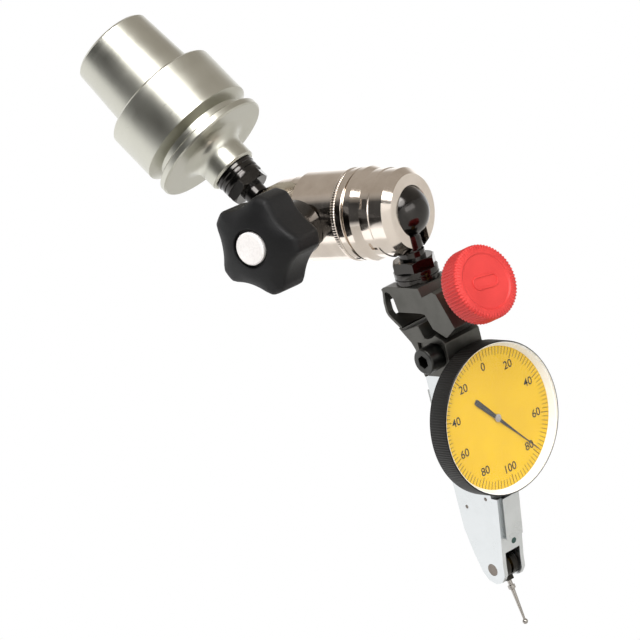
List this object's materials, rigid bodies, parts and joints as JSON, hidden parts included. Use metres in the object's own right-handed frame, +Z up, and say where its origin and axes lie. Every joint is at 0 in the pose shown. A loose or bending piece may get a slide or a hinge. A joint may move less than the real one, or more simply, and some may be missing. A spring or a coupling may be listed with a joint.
{
  "type": "articulated test indicator holder",
  "caption": "Hollow taper spindle shank with a double ball jointed clamping arm, a fine adjuster and a lever type dial test indicator.",
  "frame": {"origin": "centre of the shank flange face that seats against the spindle nose", "axes": "+Z up the spindle axis into the spindle; the arm swings in the XZ plane and hangs below the flange towards +X; the star knob faces -Y"},
  "size_m": [0.0769, 0.0525, 0.1755],
  "materials": {
    "ground_shank_steel": "ground satin",
    "blued_steel": "black oxide, oiled",
    "nickel_steel": "nickel plated",
    "hardened_steel": "hardened and ground",
    "bush_bronze": "turned",
    "bush_steel": "turned, black oxide",
    "knob_plastic": "fine moulded texture",
    "cap_plastic": "smooth",
    "anodised_black": "matte black",
    "red_aluminium": "red anodised",
    "screw_black": "black oxide",
    "satin_chrome": "satin chrome plated",
    "pin_steel": "ground",
    "movement_brass": "gilt",
    "jewel": "polished",
    "bezel_black": "black anodised, knurled",
    "ring_white": "white enamel",
    "dial_yellow": "yellow, printed black",
    "crystal_clear": "clear",
    "needle_black": "matte black",
    "hub_silver": "polished",
    "spring_steel": "blued spring strip",
    "drum_dark": "dark",
    "stylus_steel": "polished"
  },
  "bodies": {
    "shank": {"hollow_shank": "ground_shank_steel"},
    "rear_stud": {"rear_ball_stud": "blued_steel", "thrust_collar": "blued_steel"},
    "arm": {"arm_tube": "nickel_steel", "lock_ring": "nickel_steel", "spanner_ring": "nickel_steel", "cap_snap_ring": "spring_steel", "guide_bush": "bush_steel"},
    "clamp_spindle": {"clamp_spindle": "hardened_steel"},
    "star_knob": {"star_knob": "knob_plastic", "knob_insert": "hardened_steel", "knob_cap_disc": "cap_plastic"},
    "rear_plunger": {"rear_ball_seat": "hardened_steel", "rear_push_rod": "hardened_steel"},
    "front_plunger": {"front_ball_seat": "hardened_steel", "front_push_rod": "hardened_steel"},
    "cap": {"front_cap": "nickel_steel"},
    "front_stud": {"front_ball_stud": "blued_steel"},
    "fine_block": {"fine_block": "anodised_black", "flexure_leaf": "anodised_black", "screw_bush": "bush_bronze"},
    "fine_screw": {"fine_screw": "hardened_steel"},
    "red_knob": {"red_knob": "red_aluminium"},
    "fine_lever": {"fine_lever": "anodised_black", "clamp_jaw": "anodised_black", "indicator_body": "satin_chrome", "top_dovetail": "satin_chrome", "back_dovetail": "satin_chrome", "dowel_pin_lower": "pin_steel", "dowel_pin_upper": "pin_steel", "pivot_pin": "pin_steel", "movement_plate": "movement_brass", "upper_jewel": "jewel", "lower_jewel": "jewel", "bezel_seat": "satin_chrome"},
    "clamp_screw": {"clamp_screw": "screw_black"},
    "bezel": {"bezel": "bezel_black", "dial_ring": "ring_white", "dial_plate": "dial_yellow", "crystal": "crystal_clear"},
    "needle": {"needle": "needle_black", "needle_hub": "hub_silver", "needle_arbor": "pin_steel", "hairspring": "spring_steel"},
    "crown": {"crown_wheel": "movement_brass", "crown_arbor": "pin_steel"},
    "contact_lever": {"contact_lever": "movement_brass"},
    "stylus": {"contact_drum": "drum_dark", "stylus": "stylus_steel"}
  },
  "joints": [
    {"name": "rear_swivel", "type": "hinge", "parent": "shank", "child": "rear_stud", "pos_m": [0, 0, -0.045], "axis": [0, 0, 1], "continuous": true},
    {"name": "arm_tilt", "type": "hinge", "parent": "rear_stud", "child": "arm", "pos_m": [0, 0, -0.045], "axis": [0, 1, 0], "range_deg": [-41, 70]},
    {"name": "clamp_knob", "type": "hinge", "parent": "clamp_spindle", "child": "star_knob", "pos_m": [0.01048, 0, -0.05443], "axis": [0, -1, 0], "range_deg": [0, 270.1]},
    {"name": "clamp_feed", "type": "slide", "parent": "arm", "child": "clamp_spindle", "axis": [0, -1, 0], "range_m": [0, 0.0009375]},
    {"name": "rear_rod_slide", "type": "slide", "parent": "arm", "child": "rear_plunger", "axis": [0.7431, 0, -0.6691], "range_m": [0, 0.0005423]},
    {"name": "front_rod_slide", "type": "slide", "parent": "arm", "child": "front_plunger", "axis": [-0.7431, 0, 0.6691], "range_m": [0, 0.0005423]},
    {"name": "cap_turn", "type": "hinge", "parent": "arm", "child": "cap", "pos_m": [0.02779, 0, -0.07003], "axis": [0.7431, 0, -0.6691], "continuous": true},
    {"name": "front_tilt", "type": "hinge", "parent": "cap", "child": "front_stud", "pos_m": [0.02779, 0, -0.07003], "axis": [-0.0583, -0.9962, -0.0648], "range_deg": [-0.5, 112]},
    {"name": "block_spin", "type": "hinge", "parent": "front_stud", "child": "fine_block", "pos_m": [0.02779, 0, -0.07003], "axis": [-0.6588, 0.0872, -0.7473], "range_deg": [-120, 50]},
    {"name": "fine_knob", "type": "hinge", "parent": "fine_screw", "child": "red_knob", "pos_m": [0.0341, -0.00393, -0.09899], "axis": [0.8939, -0.2379, -0.38], "range_deg": [-540.5, 540.5]},
    {"name": "fine_feed", "type": "slide", "parent": "fine_block", "child": "fine_screw", "axis": [0.8939, -0.2379, -0.38], "range_m": [-0.00075, 0.00075]},
    {"name": "fine_tilt", "type": "hinge", "parent": "fine_block", "child": "fine_lever", "pos_m": [0.00591, 0.00389, -0.0832], "axis": [-0.223, -0.9712, 0.0834], "range_deg": [-0.76, 0.76], "deforming": ["flexure_leaf"]},
    {"name": "clamp_screw_turn", "type": "hinge", "parent": "fine_lever", "child": "clamp_screw", "pos_m": [0.00878, 0.00177, -0.10029], "axis": [-0.223, -0.9712, 0.0834], "range_deg": [0, 180]},
    {"name": "bezel_turn", "type": "hinge", "parent": "fine_lever", "child": "bezel", "pos_m": [0.00353, 0.00131, -0.11967], "axis": [0.7185, -0.2216, -0.6593], "continuous": true},
    {"name": "needle_turn", "type": "hinge", "parent": "fine_lever", "child": "needle", "pos_m": [0.00353, 0.00131, -0.11967], "axis": [0.7185, -0.2216, -0.6593], "range_deg": [-400, 0], "stiffness_Nm_per_rad": 0.000001},
    {"name": "contact_lever_swing", "type": "hinge", "parent": "fine_lever", "child": "contact_lever", "pos_m": [-0.03022, 0.00707, -0.14291], "axis": [-0.223, -0.9712, 0.0834], "range_deg": [0, 0.82113]},
    {"name": "crown_spin", "type": "hinge", "parent": "fine_lever", "child": "crown", "pos_m": [-0.00373, 0.00355, -0.11301], "axis": [-0.223, -0.9712, 0.0834], "range_deg": [-46.15, 0]},
    {"name": "stylus_swivel", "type": "hinge", "parent": "contact_lever", "child": "stylus", "pos_m": [-0.03022, 0.00707, -0.14291], "axis": [-0.223, -0.9712, 0.0834], "range_deg": [-100, 100]}
  ],
  "couplings": [
    {"joint": "clamp_knob", "follows": "clamp_feed", "rad_per_m": 5026.5},
    {"joint": "rear_rod_slide", "follows": "clamp_feed", "ratio": 0.57735},
    {"joint": "front_rod_slide", "follows": "clamp_feed", "ratio": 0.57735},
    {"joint": "fine_knob", "follows": "fine_tilt", "ratio": 714.29},
    {"joint": "fine_feed", "follows": "fine_tilt", "m_per_rad": 0.056841},
    {"joint": "contact_lever_swing", "follows": "needle_turn", "ratio": -0.0020526},
    {"joint": "crown_spin", "follows": "needle_turn", "ratio": 0.11538}
  ]
}
